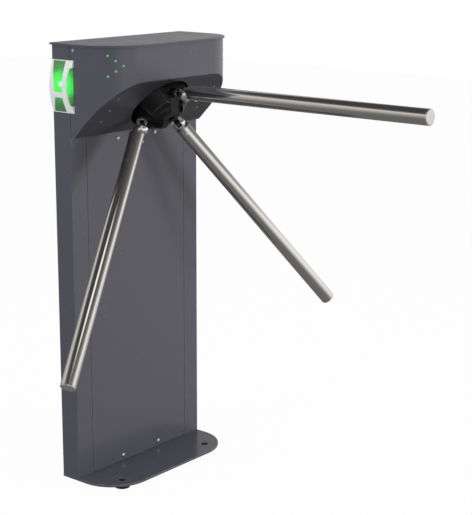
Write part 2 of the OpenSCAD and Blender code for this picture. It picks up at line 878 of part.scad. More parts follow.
// Bearings and shaft, turned about the hub axis
module bearing_housing() {
    outer = bearing_od / 2 + housing_wall;
    low = housing_front - housing_len;
    color("silver") at_hub() difference() {
        union() {
            translate([0, 0, low]) cylinder(r = outer, h = housing_len);
            translate([0, 0, housing_flange_back]) cylinder(r = housing_flange_r, h = housing_flange_t);
        }
        translate([0, 0, low - over])
            cylinder(r = bearing_od / 2 - housing_lip, h = housing_len + 2 * over);
        translate([0, 0, low - over])
            cylinder(r = bearing_od / 2 + fit, h = bearing_w + over);
        translate([0, 0, housing_front - bearing_w])
            cylinder(r = bearing_od / 2 + fit, h = bearing_w + over);
        at_housing_bolts() translate([0, 0, housing_flange_back - over])
            cylinder(d = housing_bolt_d + screw_hole_extra, h = housing_flange_t + 2 * over);
    }
}

module housing_bolts() {
    color("silver") at_hub() at_housing_bolts() translate([0, 0, housing_flange_back + housing_flange_t])
        hex_bolt(housing_bolt_head_d, housing_bolt_head_h, housing_bolt_d, housing_flange_t + frame_t);
}

module bearing_rings(inner, outer) {
    for (low = [housing_front - bearing_w, housing_front - housing_len])
        translate([0, 0, low]) difference() {
            cylinder(r = outer, h = bearing_w);
            translate([0, 0, -over]) cylinder(r = inner, h = bearing_w + 2 * over);
        }
}

module bearing_outer_rings() {
    inner = shaft_d / 2 + ring_t + gap;
    color("lightgray") at_hub() bearing_rings(inner, bearing_od / 2);
}

module bearing_inner_rings() {
    color("lightgray") at_hub() bearing_rings(shaft_d / 2 + fit, shaft_d / 2 + ring_t);
}

module hub_shaft() {
    nut_low = wheel_mid - wheel_t / 2 - nut_t;
    color("silver") at_hub() difference() {
        union() {
            translate([0, 0, nut_low]) cylinder(d = shaft_d, h = shaft_top - nut_low);
            translate([0, 0, housing_front])
                cylinder(d = shaft_d + 2 * ring_t, h = -hub_back - housing_front);
            translate([0, 0, rear_plate_h - rear_plate_t - shaft_tail_len])
                cylinder(r = shaft_tail_r, h = nut_low - rear_plate_h + rear_plate_t + shaft_tail_len);
        }
        translate([0, 0, shaft_top + hub_web - hub_bolt_len - over])
            cylinder(d = hub_bolt_d + 2 * fit, h = hub_bolt_len + over);
    }
}

// Hub: a domed casting with three sloping slots, each with a pivot lug
module hub_profile() {
    difference() {
        union() {
            translate([0, hub_back_round - hub_back]) square([hub_r, hub_back - hub_back_round]);
            translate([0, -hub_back]) square([hub_r - hub_back_round, hub_back]);
            translate([hub_r - hub_back_round, hub_back_round - hub_back]) circle(r = hub_back_round);
            polygon([[0, 0], [hub_r, 0], [shoulder_r, shoulder_h], [nose_r, nose_h - nose_round],
                [nose_r - nose_round, nose_h], [0, nose_h]]);
            intersection() {
                translate([nose_r - nose_round, nose_h - nose_round]) circle(r = nose_round);
                square([nose_r, nose_h]);
            }
        }
        translate([-hub_r, -hub_back - over]) square([hub_r, nose_h + hub_back + 2 * over]);
    }
}

// Flat facet over an arm's slot, leaning towards the nose
module facet() {
    translate([0, facet_r, 0]) rotate([facet_tilt, 0, 0])
        translate([-hub_r, 0, -nose_h]) cube([2 * hub_r, hub_r, 3 * nose_h]);
}

module hub_body() {
    color([0.12, 0.12, 0.13]) difference() {
        union() {
            difference() {
                at_hub() rotate_extrude($fn = 128) hub_profile();
                for (i = [0 : 2]) at_hub() rotate([0, 0, -120 * i]) facet();
                for (i = [0 : 2]) at_arm(i) translate([-slot_w / 2, -reach / 2, -slot_floor])
                    cube([slot_w, reach, reach]);
            }
            for (i = [0 : 2]) at_arm(i) translate([-lug_t / 2, -pivot_offset, 0]) rotate([90, 0, 90]) {
                cylinder(r = lug_eye_r, h = lug_t);
                translate([-lug_eye_r, -lug_foot, 0]) cube([2 * lug_eye_r, lug_foot, lug_t]);
            }
        }
        for (i = [0 : 2]) at_arm(i) translate([-lug_t, -pivot_offset, 0]) rotate([0, 90, 0])
            cylinder(d = pin_d + 2 * fit, h = 2 * lug_t);
        at_hub() {
            translate([0, 0, -hub_back - over])
                cylinder(d = shaft_d + 2 * fit, h = hub_back + shaft_top + over + gap);
            translate([0, 0, shaft_top])
                cylinder(d = hub_bolt_d + screw_hole_extra, h = hub_web + over);
            translate([0, 0, shaft_top + hub_web]) cylinder(r = hub_bolt_recess_r, h = nose_h);
        }
    }
}

module hub_bolt() {
    color("silver") at_hub() translate([0, 0, shaft_top + hub_web]) difference() {
        union() {
            cylinder(d = hub_bolt_head_d, h = hub_bolt_head_h);
            translate([0, 0, -hub_bolt_len]) cylinder(d = hub_bolt_d, h = hub_bolt_len);
        }
        translate([0, 0, hub_bolt_head_h - hub_bolt_hex_h])
            cylinder(d = hub_bolt_hex_d, h = hub_bolt_hex_h + over, $fn = 6);
    }
}

module pivot_pins() {
    color("silver") for (i = [0 : 2]) at_arm(i) translate([0, -pivot_offset, 0]) rotate([0, 90, 0])
        difference() {
            translate([0, 0, -pin_len / 2]) cylinder(d = pin_d, h = pin_len);
            for (end = [0, 1]) mirror([0, 0, end]) translate([0, 0, pin_len / 2 - pin_socket_h])
                cylinder(d = pin_d * pin_socket_share, h = pin_socket_h + over, $fn = 6);
        }
}

// Lock wheel with evenly spaced slots and three index magnets let in
module at_magnets() {
    for (i = [0 : magnet_count - 1]) rotate([0, 0, 90 + i * 360 / magnet_count])
        translate([magnet_r, 0, 0]) children();
}

module lock_wheel() {
    low = wheel_mid - wheel_t / 2;
    boss_top = housing_front - housing_len;
    color("silver") at_hub() difference() {
        union() {
            translate([0, 0, low]) cylinder(r = wheel_r, h = wheel_t, $fn = 128);
            translate([0, 0, low]) cylinder(r = wheel_boss_r, h = boss_top - low);
        }
        translate([0, 0, low - over]) cylinder(d = shaft_d + 2 * fit, h = boss_top - low + 2 * over);
        for (i = [0 : wheel_slots - 1]) rotate([0, 0, i * 360 / wheel_slots])
            translate([wheel_r - wheel_slot_depth, -bolt_d / 2 - wheel_slot_clear, low - over])
                cube([wheel_slot_depth + over, bolt_d + 2 * wheel_slot_clear, wheel_t + 2 * over]);
        at_magnets() translate([0, 0, low - over]) cylinder(d = magnet_d + 2 * fit, h = magnet_t + over);
    }
}

module index_magnets() {
    color("gray") at_hub() at_magnets() translate([0, 0, wheel_mid - wheel_t / 2])
        cylinder(d = magnet_d, h = magnet_t);
}

// Fixed magnet that pulls the wheel's magnets to the resting places
module index_post() {
    top = wheel_mid - wheel_t / 2 - magnet_gap;
    color("silver") at_hub() translate([0, magnet_r, 0]) difference() {
        translate([0, 0, rear_plate_h]) cylinder(r = post_r, h = top - rear_plate_h);
        translate([0, 0, top - magnet_t]) cylinder(d = magnet_d + 2 * fit, h = magnet_t + over);
    }
}

module post_magnet() {
    color("gray") at_hub() translate([0, magnet_r, wheel_mid - wheel_t / 2 - magnet_gap - magnet_t])
        cylinder(d = magnet_d, h = magnet_t);
}

module shaft_nut() {
    color("silver") at_hub() translate([0, 0, wheel_mid - wheel_t / 2 - nut_t]) difference() {
        cylinder(r = nut_r, h = nut_t, $fn = 6);
        translate([0, 0, -over]) cylinder(d = shaft_d + 2 * fit, h = nut_t + 2 * over);
    }
}

module damper() {
    color("black") at_hub() translate([0, 0, rear_plate_h - rear_plate_t - damper_len]) difference() {
        union() {
            cylinder(r = damper_r, h = damper_len);
            translate([0, 0, damper_len - damper_ear_t]) cylinder(r = damper_ear_r, h = damper_ear_t);
        }
        translate([0, 0, damper_len - shaft_tail_len - gap])
            cylinder(r = shaft_tail_r + run, h = shaft_tail_len + gap + over);
    }
}

module at_sensors() {
    for (s = [-1, 1]) rotate([0, 0, 90 + s * sensor_turn]) translate([sensor_r, 0, 0]) children();
}

module position_sensors() {
    tip = wheel_mid - wheel_t / 2 - sensor_gap;
    low = rear_plate_h - rear_plate_t - sensor_tail;
    color("gold") at_hub() at_sensors() {
        translate([0, 0, low]) cylinder(d = sensor_d, h = tip - low);
        translate([0, 0, rear_plate_h]) cylinder(d = sensor_nut_d, h = sensor_nut_t, $fn = 6);
        translate([0, 0, rear_plate_h - rear_plate_t - sensor_nut_t])
            cylinder(d = sensor_nut_d, h = sensor_nut_t, $fn = 6);
    }
}

// Lock bolts and their solenoids, at rest clear of the wheel
module at_lock(s) {
    at_hub() translate([0, 0, wheel_mid]) rotate([0, 0, s > 0 ? 0 : 180])
        translate([wheel_r + bolt_rest_gap, 0, 0]) rotate([0, 90, 0]) children();
}

module solenoid(s) {
    at_lock(s) translate([0, 0, solenoid_gap]) difference() {
        union() {
            translate([-solenoid_size / 2, -solenoid_size / 2, 0])
                cube([solenoid_size, solenoid_size, coil_wall]);
            translate([-solenoid_size / 2, -solenoid_size / 2, solenoid_len - coil_wall])
                cube([solenoid_size, solenoid_size, coil_wall]);
            translate([solenoid_size / 2 - coil_wall, -solenoid_size / 2, 0])
                cube([coil_wall, solenoid_size, solenoid_len]);
            cylinder(d = solenoid_size - 2 * (coil_wall + gap), h = solenoid_len);
        }
        translate([0, 0, -over]) cylinder(d = bolt_d + 2 * run, h = solenoid_len + 2 * over);
    }
}

module lock_bolt(s) {
    at_lock(s) {
        cylinder(d = bolt_d, h = knob_stand + bolt_knob_t);
        translate([0, 0, knob_stand]) cylinder(r = bolt_knob_r, h = bolt_knob_t);
    }
}

module solenoid_left() { color("darkslategray") solenoid(-1); }
module solenoid_right() { color("darkslategray") solenoid(1); }
module lock_bolt_left() { color("silver") lock_bolt(-1); }
module lock_bolt_right() { color("silver") lock_bolt(1); }

// Electrics on the back wall of the column
module at_board_pillars() {
    inner = back_y - sheet_t;
    for (x = [-1, 1], z = [board_pillar_inset, board_h - board_pillar_inset])
        translate([x * (board_w / 2 - board_pillar_inset), inner, board_low + z])
            rotate([90, 0, 0]) children();
}

module control_board() {
    face = back_y - sheet_t - board_stand - board_t;
    color("green") {
        translate([-board_w / 2, face, board_low])
            cube([board_w, board_t, board_h]);
        for (i = [0 : relay_count - 1])
            translate([(i - (relay_count - 1) / 2) * relay_w * 3 / 2 - relay_w / 2, face - relay_d,
                board_low + board_h - relay_h - 2 * board_pillar_inset])
                cube([relay_w, relay_d, relay_h]);
        translate([-terminal_w / 2, face - terminal_d, board_low + 2 * board_pillar_inset])
            cube([terminal_w, terminal_d, terminal_h]);
    }
}

module board_pillars() {
    color("gold") at_board_pillars() cylinder(d = board_pillar_d, h = board_stand);
}

module power_supply() {
    face = back_y - sheet_t - supply_d;
    color("silver") difference() {
        translate([-supply_w / 2, face, supply_low]) cube([supply_w, supply_d, supply_h]);
        for (i = [1 : supply_slot_count]) translate([-supply_w / 3, face - over,
            supply_low + i * supply_h / (supply_slot_count + 1) - supply_slot_w / 2])
            cube([supply_w * 2 / 3, supply_slot_depth + over, supply_slot_w]);
    }
}

// Arms: forked knuckle, tube, end cap and clamping screw
module knuckle(i) {
    color("silver") at_arm(i) difference() {
        union() {
            translate([-ear_t - lug_t / 2 - fork_clear, -pivot_offset, 0]) rotate([0, 90, 0])
                cylinder(r = ear_r, h = 2 * (ear_t + fork_clear) + lug_t);
            translate([0, -ball_offset, ball_station]) sphere(r = ball_r, $fn = 96);
            translate([0, 0, ball_station]) cylinder(r = neck_r, h = tube_start - ball_station);
            translate([0, 0, tube_start])
                cylinder(r = tube_d / 2 - tube_t - spigot_clear, h = spigot_end - tube_start);
        }
        translate([-lug_t / 2 - fork_clear, -reach - pivot_offset + fork_floor, -reach + fork_floor])
            cube([lug_t + 2 * fork_clear, reach, reach]);
        translate([-reach / 2, -pivot_offset, 0]) rotate([0, 90, 0])
            cylinder(d = pin_d + 2 * run, h = reach);
        translate([0, 0, arm_screw_station]) rotate([90, 0, 0])
            cylinder(d = screw_d + 2 * fit, h = tube_d);
    }
}

module tube(i) {
    len = arm_reach - pivot_station - cap_flange_t - tube_start;
    color("silver") at_arm(i) difference() {
        translate([0, 0, tube_start]) cylinder(d = tube_d, h = len);
        translate([0, 0, tube_start - over]) cylinder(d = tube_d - 2 * tube_t, h = len + 2 * over);
        translate([0, 0, arm_screw_station]) rotate([90, 0, 0])
            cylinder(d = screw_d + screw_hole_extra, h = tube_d);
    }
}

module cap(i) {
    tip = arm_reach - pivot_station;
    plug_r = tube_d / 2 - tube_t - spigot_clear;
    color("gainsboro") at_arm(i) difference() {
        union() {
            translate([0, 0, tip - cap_flange_t]) cylinder(d = tube_d, h = cap_flange_t - cap_edge);
            translate([0, 0, tip - cap_edge])
                cylinder(r1 = tube_d / 2, r2 = tube_d / 2 - cap_edge, h = cap_edge);
            translate([0, 0, tip - cap_flange_t - cap_plug_len])
                cylinder(r = plug_r, h = cap_plug_len);
        }
        translate([0, 0, tip - cap_flange_t - cap_plug_len - over])
            cylinder(r = plug_r - cap_plug_wall, h = cap_plug_len + over);
    }
}

module arm_screw(i) {
    color("silver") at_arm(i) translate([0, -tube_d / 2, arm_screw_station]) rotate([90, 0, 0])
        button_screw(arm_screw_head_d, arm_screw_head_h, screw_d, arm_screw_reach);
}

base_plate();
foot_rings();
cable_grommet();
column_shell();
column_bolts();
front_panel();
panel_screws();
head_cover();
cover_screws();
underside_plate();
underside_screws();
top_lid();
lid_screws();
bezel_left();
lens_left();
light_board_left();
bezel_right();
lens_right();
light_board_right();
arrow_lights_left();
arrow_board_left();
arrow_lights_right();
arrow_board_right();
mechanism_frame();
frame_bolts();
bearing_housing();
housing_bolts();
bearing_outer_rings();
bearing_inner_rings();
hub_shaft();
hub_body();
hub_bolt();
pivot_pins();
lock_wheel();
index_magnets();
index_post();
post_magnet();
shaft_nut();
damper();
position_sensors();
solenoid_left();
lock_bolt_left();
solenoid_right();
lock_bolt_right();
control_board();
board_pillars();
power_supply();
knuckle(0);  // arm_1_knuckle
tube(0);  // arm_1_tube
cap(0);  // arm_1_cap
arm_screw(0);  // arm_1_screw
knuckle(1);  // arm_2_knuckle
tube(1);  // arm_2_tube
cap(1);  // arm_2_cap
arm_screw(1);  // arm_2_screw
knuckle(2);  // arm_3_knuckle
tube(2);  // arm_3_tube
cap(2);  // arm_3_cap
arm_screw(2);  // arm_3_screw
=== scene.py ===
"""Looks of a waist-high tripod turnstile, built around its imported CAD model."""

import json
import math

import bmesh
import bpy
import numpy as np
from mathutils import Matrix, Vector


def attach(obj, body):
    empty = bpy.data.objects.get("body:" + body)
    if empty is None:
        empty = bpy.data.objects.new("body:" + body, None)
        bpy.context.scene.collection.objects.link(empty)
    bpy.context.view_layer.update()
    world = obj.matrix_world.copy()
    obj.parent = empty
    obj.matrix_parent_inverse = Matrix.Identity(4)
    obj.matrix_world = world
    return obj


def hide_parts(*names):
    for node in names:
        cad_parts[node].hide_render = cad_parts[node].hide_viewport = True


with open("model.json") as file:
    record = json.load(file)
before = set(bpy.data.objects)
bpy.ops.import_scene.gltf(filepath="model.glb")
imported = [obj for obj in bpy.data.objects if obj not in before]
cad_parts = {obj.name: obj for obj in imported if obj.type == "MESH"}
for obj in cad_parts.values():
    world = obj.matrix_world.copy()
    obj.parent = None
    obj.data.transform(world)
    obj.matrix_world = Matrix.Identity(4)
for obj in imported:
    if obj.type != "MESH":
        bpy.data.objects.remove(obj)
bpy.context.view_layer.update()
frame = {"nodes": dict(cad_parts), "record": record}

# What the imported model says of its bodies, finishes and joints
BEHAVIOUR = frame["record"]["behaviour"]
BODIES = BEHAVIOUR["bodies"]
SLOT_OF = {row["node"]: row["material_slot"] for row in frame["record"]["subparts"]}
HUB_TURN = next(joint for joint in BEHAVIOUR["joints"] if joint["name"] == "hub_turn")

# The hub's middle and its directions: along its axis, across it, and up the slope that it stands on
HUB = np.array(HUB_TURN["pos_m"])
AXIS = np.array(HUB_TURN["axis"]) / np.linalg.norm(HUB_TURN["axis"])
ACROSS = np.array([1.0, 0.0, 0.0])
UPHILL = np.cross(AXIS, ACROSS)

# Arm tubes and their caps in metres, measured along the arm from its station in the hub
ARM_COUNT = 3
ARM_APEX = 0.044
ARM_STATION = 0.097
ARM_LENGTH = 0.645
TUBE_START = 0.028
TUBE_R = 0.01685
TUBE_WALL = 0.002
TUBE_LIP_R = 0.0004
CAP_FLANGE = 0.003
CAP_PLUG = 0.018
CAP_EDGE_R = 0.0018
CAP_SETBACK = 0.0002
CAP_SHADE_ANGLE = 60.0
PLUG_CLEAR = 0.0001
ROUND_STEPS = 96
LIP_STEPS = 4
CAP_EDGE_STEPS = 8

# Lower edge of the side lights, and the place and reach of the lamp behind each lens, in metres
LIGHT_Z = 0.8715
LENS_LAMP_Y = 0.040
LENS_LAMP_RISE = 0.063
LENS_REACH = (0.085, 0.052)


def arm_frame(i):
    """Origin and axes (across, out of plane, along) of arm i.

    The stations stand 120 degrees apart about the hub's axis, and each arm leans 45 degrees to it."""
    turn = -2 * math.pi * i / ARM_COUNT
    radial = math.cos(turn) * UPHILL - math.sin(turn) * ACROSS
    across = math.cos(turn) * ACROSS + math.sin(turn) * UPHILL
    along = (AXIS + radial) / math.sqrt(2)
    normal = (radial - AXIS) / math.sqrt(2)
    origin = HUB - ARM_APEX * AXIS + ARM_STATION * along
    return origin, np.array([across, normal, along])


def body_of(node):
    """Name of the body that a CAD node belongs to."""
    return next(body for body, members in BODIES.items() if node in members)


# Geometry

def mesh_object(name, verts, faces, body, smooth_angle=40.0):
    """A new object that rides on a body, smooth where faces meet at less than smooth_angle degrees."""
    mesh = bpy.data.meshes.new(name)
    mesh.from_pydata(verts.tolist(), [], faces)
    mesh.update()
    mesh.shade_smooth()
    mesh.set_sharp_from_angle(angle=math.radians(smooth_angle))
    piece = bpy.data.objects.new(name, mesh)
    bpy.context.scene.collection.objects.link(piece)
    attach(piece, body)
    return piece


def ring_faces(rows, columns):
    """Quads between neighbouring rows and columns of a grid whose columns close on themselves."""
    row = np.arange(rows - 1)[:, None]
    column = np.arange(columns)[None, :]
    following = (column + 1) % columns
    quads = np.stack([row * columns + column, row * columns + following,
                      (row + 1) * columns + following, (row + 1) * columns + column], -1)
    return quads.reshape(-1, 4)


def rings(profile, origin, axes, count):
    """Grid of a turned profile: point (r, h) goes to origin + r (cos t across + sin t normal) + h along."""
    r, h = np.asarray(profile, float).T
    t = np.linspace(0, 2 * np.pi, count, endpoint=False)
    across, normal, along = axes
    outward = np.cos(t)[:, None] * across + np.sin(t)[:, None] * normal
    grid = origin + r[:, None, None] * outward + h[:, None, None] * along
    return grid.reshape(-1, 3)


def turned(profile, origin, axes, count):
    """Closed ring whose profile is a closed outline: the last row of its grid joins the first."""
    verts = rings(profile, origin, axes, count)
    rows = len(profile)
    last = np.arange(count)
    following = (last + 1) % count
    below = (rows - 1) * count
    closing = np.stack([below + last, below + following, following, last], -1)
    return verts, np.concatenate([ring_faces(rows, count), closing]).tolist()


def capped(profile, origin, axes, count):
    """Solid of revolution whose profile starts and ends on the axis; both poles are single points."""
    along = axes[2]
    poles = [origin + profile[0][1] * along, origin + profile[-1][1] * along]
    verts = np.concatenate([rings(profile[1:-1], origin, axes, count), poles])
    rows = len(profile) - 2
    faces = ring_faces(rows, count).tolist()
    low, high, base = rows * count, rows * count + 1, (rows - 1) * count
    for k in range(count):
        following = (k + 1) % count
        faces.append([low, following, k])
        faces.append([high, base + k, base + following])
    return verts, faces


def arc(centre, radius, start, end, steps):
    """Points of a circle in the profile plane, from start to end degrees."""
    angles = np.radians(np.linspace(start, end, steps))
    return [(centre[0] + radius * math.cos(a), centre[1] + radius * math.sin(a)) for a in angles]


def facing_out(piece):
    """Turns every face of a closed mesh outwards."""
    bm = bmesh.new()
    bm.from_mesh(piece.data)
    bmesh.ops.recalc_face_normals(bm, faces=bm.faces)
    bm.to_mesh(piece.data)
    bm.free()
    return piece


# Corners closer than this many metres are one, and faces within this many degrees are one flat
MERGE_DISTANCE = 2e-6
FLAT_ANGLE = 0.6

# Faces in the width of a rounding, and the angle in degrees past which shading shows an edge
ROUNDING_SEGMENTS = 2
SHADE_ANGLE = 50.0

# A face narrower than this many rounding widths belongs to a rounded edge
STRIP_WIDTH = 1.2


def softened(node, width, angle):
    """A copy of a CAD node with merged corners and dissolved flats, which replaces the node.

    Edges sharper than angle are rounded by width. Corners of the rounding carry edge = 1, all others 0."""
    source = frame["nodes"][node]
    bm = bmesh.new()
    bm.from_mesh(source.data)
    bmesh.ops.remove_doubles(bm, verts=bm.verts, dist=MERGE_DISTANCE)
    bmesh.ops.dissolve_limit(bm, angle_limit=math.radians(FLAT_ANGLE), verts=bm.verts, edges=bm.edges)
    sharp = [e for e in bm.edges
             if len(e.link_faces) == 2 and e.calc_face_angle(0.0) > math.radians(angle)]
    made = bmesh.ops.bevel(bm, geom=sharp, offset=width, offset_type="OFFSET",
                           segments=ROUNDING_SEGMENTS, profile=0.5, affect="EDGES", clamp_overlap=False)
    rounding = {f for f in made["faces"] if 2 * f.calc_area() < STRIP_WIDTH * width * f.calc_perimeter()}
    bm.faces.ensure_lookup_table()
    edge = np.concatenate([np.full(len(f.loops), 1.0 if f in rounding else 0.0) for f in bm.faces])
    mesh = bpy.data.meshes.new(node + "_finish")
    bm.to_mesh(mesh)
    bm.free()
    mesh.attributes.new("edge", "FLOAT", "CORNER").data.foreach_set("value", edge.astype(np.float32))
    mesh.shade_smooth()
    mesh.set_sharp_from_angle(angle=math.radians(SHADE_ANGLE))
    piece = bpy.data.objects.new(node + "_finish", mesh)
    bpy.context.scene.collection.objects.link(piece)
    even = piece.modifiers.new("even_shading", "WEIGHTED_NORMAL")
    even.keep_sharp = True
    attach(piece, body_of(node))
    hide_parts(node)
    return piece


def lay_along(piece, origin, axes):
    """Vector attribute lay: each point's place across, out of plane and along an arm, in metres."""
    co = np.zeros(len(piece.data.vertices) * 3)
    piece.data.vertices.foreach_get("co", co)
    local = (co.reshape(-1, 3) - origin) @ axes.T
    lay = piece.data.attributes.new("lay", "FLOAT_VECTOR", "POINT")
    lay.data.foreach_set("vector", local.astype(np.float32).ravel())
    return piece


# Shader nodes. An output is passed on as (node, name or number of the output)

def feed(tree, socket, value):
    """Links an output to a socket, or sets the socket to a plain value."""
    if isinstance(value, tuple) and isinstance(value[0], bpy.types.Node):
        tree.links.new(value[0].outputs[value[1]], socket)
    else:
        socket.default_value = value


def add(tree, kind, inputs=None, **settings):
    """A new node; inputs maps an input's name or number to a value or an output."""
    made = tree.nodes.new(kind)
    for name, value in settings.items():
        setattr(made, name, value)
    for key, value in (inputs or {}).items():
        feed(tree, made.inputs[key], value)
    return made


def calculated(tree, operation, *values, clamp=False):
    """Result of a Math node; MULTIPLY_ADD takes three values, the others one or two."""
    return (add(tree, "ShaderNodeMath", dict(enumerate(values)), operation=operation, use_clamp=clamp), 0)


def along_direction(tree, direction, axis):
    """Cosine between a direction and a fixed axis of unit length."""
    return (add(tree, "ShaderNodeVectorMath", {0: direction, 1: axis}, operation="DOT_PRODUCT"), "Value")


def spread(tree, value, span, result):
    """Maps a value from one span to another, held at the ends."""
    ends = {"From Min": span[0], "From Max": span[1], "To Min": result[0], "To Max": result[1]}
    return (add(tree, "ShaderNodeMapRange", {"Value": value, **ends}), "Result")


def blended(tree, factor, first, second, mode="MIX"):
    """Colour between two colours, by factor."""
    mix = add(tree, "ShaderNodeMix", {0: factor, 6: first, 7: second}, data_type="RGBA", blend_type=mode)
    return (mix, 2)


def grey(tree, value):
    """A value as a grey colour."""
    return (add(tree, "ShaderNodeCombineColor", {0: value, 1: value, 2: value}), 0)


def noise(tree, place, scale, detail=2.0, rough=0.5):
    """Noise from 0 to 1 at a place; scale counts the waves in a metre."""
    settings = {"Vector": place, "Scale": scale, "Detail": detail, "Roughness": rough}
    return (add(tree, "ShaderNodeTexNoise", settings), "Fac")


def ramped(tree, value, steps):
    """Colour that follows a value from 0 to 1; steps are (value, colour)."""
    ramp = add(tree, "ShaderNodeValToRGB", {0: value})
    stops = ramp.color_ramp.elements
    while len(stops) < len(steps):
        stops.new(1.0)
    for stop, (where, colour) in zip(stops, steps):
        stop.position = where
        stop.color = (*colour, 1.0)
    return (ramp, "Color")


# Shared surface effects

def group(name, inputs, outputs):
    """An empty node group with its named sockets, and its inner ends."""
    tree = bpy.data.node_groups.new(name, "ShaderNodeTree")
    kinds = {"value": "NodeSocketFloat", "colour": "NodeSocketColor", "vector": "NodeSocketVector"}
    for label, kind in inputs:
        tree.interface.new_socket(name=label, in_out="INPUT", socket_type=kinds[kind])
    for label, kind in outputs:
        tree.interface.new_socket(name=label, in_out="OUTPUT", socket_type=kinds[kind])
    return tree, tree.nodes.new("NodeGroupInput"), tree.nodes.new("NodeGroupOutput")


# Spans that a noise is read over: most of its values, and only its peaks
NOISE_SPAN = (0.3, 0.7)
PEAK_SPAN = (0.45, 0.75)

# Tones of the coat's grains, and the dust that lies up to this height in metres
GRAIN_TONES = (0.97, 1.04)
DUST_COLOUR = (0.32, 0.31, 0.29, 1.0)
DUST_HEIGHT = 0.35
DUST_ROUGHNESS = 0.3
MATT_SPREAD = (-0.05, 0.05)


def coat_group():
    """Powder coat: fine grains, a slow drift of tone, and dust towards the floor."""
    tree, start, end = group(
        "powder coat",
        [("Place", "vector"), ("Colour", "colour"), ("Grain", "value"), ("Drift", "value"),
         ("Roughness", "value"), ("Dust", "value")],
        [("Colour", "colour"), ("Roughness", "value"), ("Height", "value")])
    place = (start, "Place")
    drift = (start, "Drift")
    grain = noise(tree, place, (start, "Grain"), detail=3.0, rough=0.6)
    slow = noise(tree, place, 5.0, detail=4.0, rough=0.55)
    half_drift = calculated(tree, "MULTIPLY", drift, -0.5)
    middle = calculated(tree, "ADD", half_drift, 1.0)
    tone = calculated(tree, "MULTIPLY_ADD", slow, drift, middle)
    flecks = spread(tree, grain, (0.35, 0.7), GRAIN_TONES)
    shade = calculated(tree, "MULTIPLY", tone, flecks)
    colour = blended(tree, 1.0, (start, "Colour"), grey(tree, shade), "MULTIPLY")
    parts = add(tree, "ShaderNodeSeparateXYZ", {0: place})
    low_down = spread(tree, (parts, "Z"), (0.0, DUST_HEIGHT), (1.0, 0.0))
    specks = spread(tree, noise(tree, place, 60.0, detail=5.0, rough=0.7), PEAK_SPAN, (0.15, 1.0))
    dusty = calculated(tree, "MULTIPLY", low_down, specks)
    dust = calculated(tree, "MULTIPLY", dusty, (start, "Dust"), clamp=True)
    feed(tree, end.inputs["Colour"], blended(tree, dust, colour, DUST_COLOUR))
    matt = spread(tree, noise(tree, place, 22.0, detail=3.0), NOISE_SPAN, MATT_SPREAD)
    rough = calculated(tree, "ADD", (start, "Roughness"), matt)
    feed(tree, end.inputs["Roughness"], calculated(tree, "MULTIPLY_ADD", dust, DUST_ROUGHNESS, rough))
    feed(tree, end.inputs["Height"], grain)
    return tree


def edge_wear_and_highlight_group():
    """Wear along rounded edges, which on the gloss black hub is a painted highlight: the edge mask broken
    up by noise.
    """
    tree, start, end = group(
        "rubbed edges and highlight",
        [("Place", "vector"), ("Edge", "value"), ("Amount", "value")],
        [("Mask", "value")])
    patches = noise(tree, (start, "Place"), 45.0, detail=5.0, rough=0.65)
    broken = spread(tree, patches, (0.42, 0.7), (0.1, 1.0))
    wear_and_highlight = calculated(tree, "MULTIPLY", (start, "Edge"), broken)
    feed(tree, end.inputs["Mask"], calculated(tree, "MULTIPLY", wear_and_highlight, (start, "Amount"), clamp=True))
    return tree


# Polished metal: how much its lines stretch along the lay, and what they do to roughness and tone
LINE_STRETCH = 0.012
LINE_ROUGHNESS = (-0.05, 0.07)
LINE_TONES = (0.88, 1.05)
LEAST_ROUGHNESS = 0.03
MOST_ROUGHNESS = 0.9


def polish_group():
    """Polished metal: fine lines along the lay, and soft smears of handling."""
    tree, start, end = group(
        "polish",
        [("Lay", "vector"), ("Line", "value"), ("Roughness", "value"), ("Smear", "value")],
        [("Tone", "value"), ("Roughness", "value"), ("Height", "value")])
    lay = (start, "Lay")
    stretch = add(tree, "ShaderNodeMapping", {"Vector": lay, "Scale": (1.0, 1.0, LINE_STRETCH)})
    lines = noise(tree, (stretch, 0), (start, "Line"), detail=4.0, rough=0.65)
    streak = spread(tree, lines, NOISE_SPAN, LINE_ROUGHNESS)
    smear = spread(tree, noise(tree, lay, 14.0, detail=4.0, rough=0.6), PEAK_SPAN, (0.0, 1.0))
    smeared = calculated(tree, "MULTIPLY", smear, (start, "Smear"))
    rough = calculated(tree, "ADD", (start, "Roughness"), streak)
    total = calculated(tree, "ADD", rough, smeared)
    limited = add(tree, "ShaderNodeClamp", {"Value": total, "Min": LEAST_ROUGHNESS, "Max": MOST_ROUGHNESS})
    feed(tree, end.inputs["Roughness"], (limited, 0))
    feed(tree, end.inputs["Tone"], spread(tree, lines, (0.25, 0.75), LINE_TONES))
    feed(tree, end.inputs["Height"], lines)
    return tree


COAT = coat_group()
EDGE_WEAR_AND_HIGHLIGHT = edge_wear_and_highlight_group()
POLISH = polish_group()


# Kinds of material

def new_material(name):
    """A material with its node tree and its main shader."""
    material = bpy.data.materials.new(name)
    material.use_nodes = True
    tree = material.node_tree
    return material, tree, tree.nodes["Principled BSDF"]


def set_inputs(tree, shader, inputs):
    """Feeds several inputs of a shader by name."""
    for name, value in inputs.items():
        feed(tree, shader.inputs[name], value)


def bumped(tree, height, strength, distance):
    """Normals that follow a height; distance is what a height of 1 stands for, in metres."""
    return (add(tree, "ShaderNodeBump", {"Height": height, "Strength": strength, "Distance": distance}), 0)


# Steel under a rubbed coat, the roughness of a clear coat, and the depth of grains and lines in metres
BARE_STEEL = (0.30, 0.30, 0.31, 1.0)
CLEAR_ROUGHNESS = 0.08
GRAIN_DEPTH = 0.0002
LINE_DEPTH = 0.0001


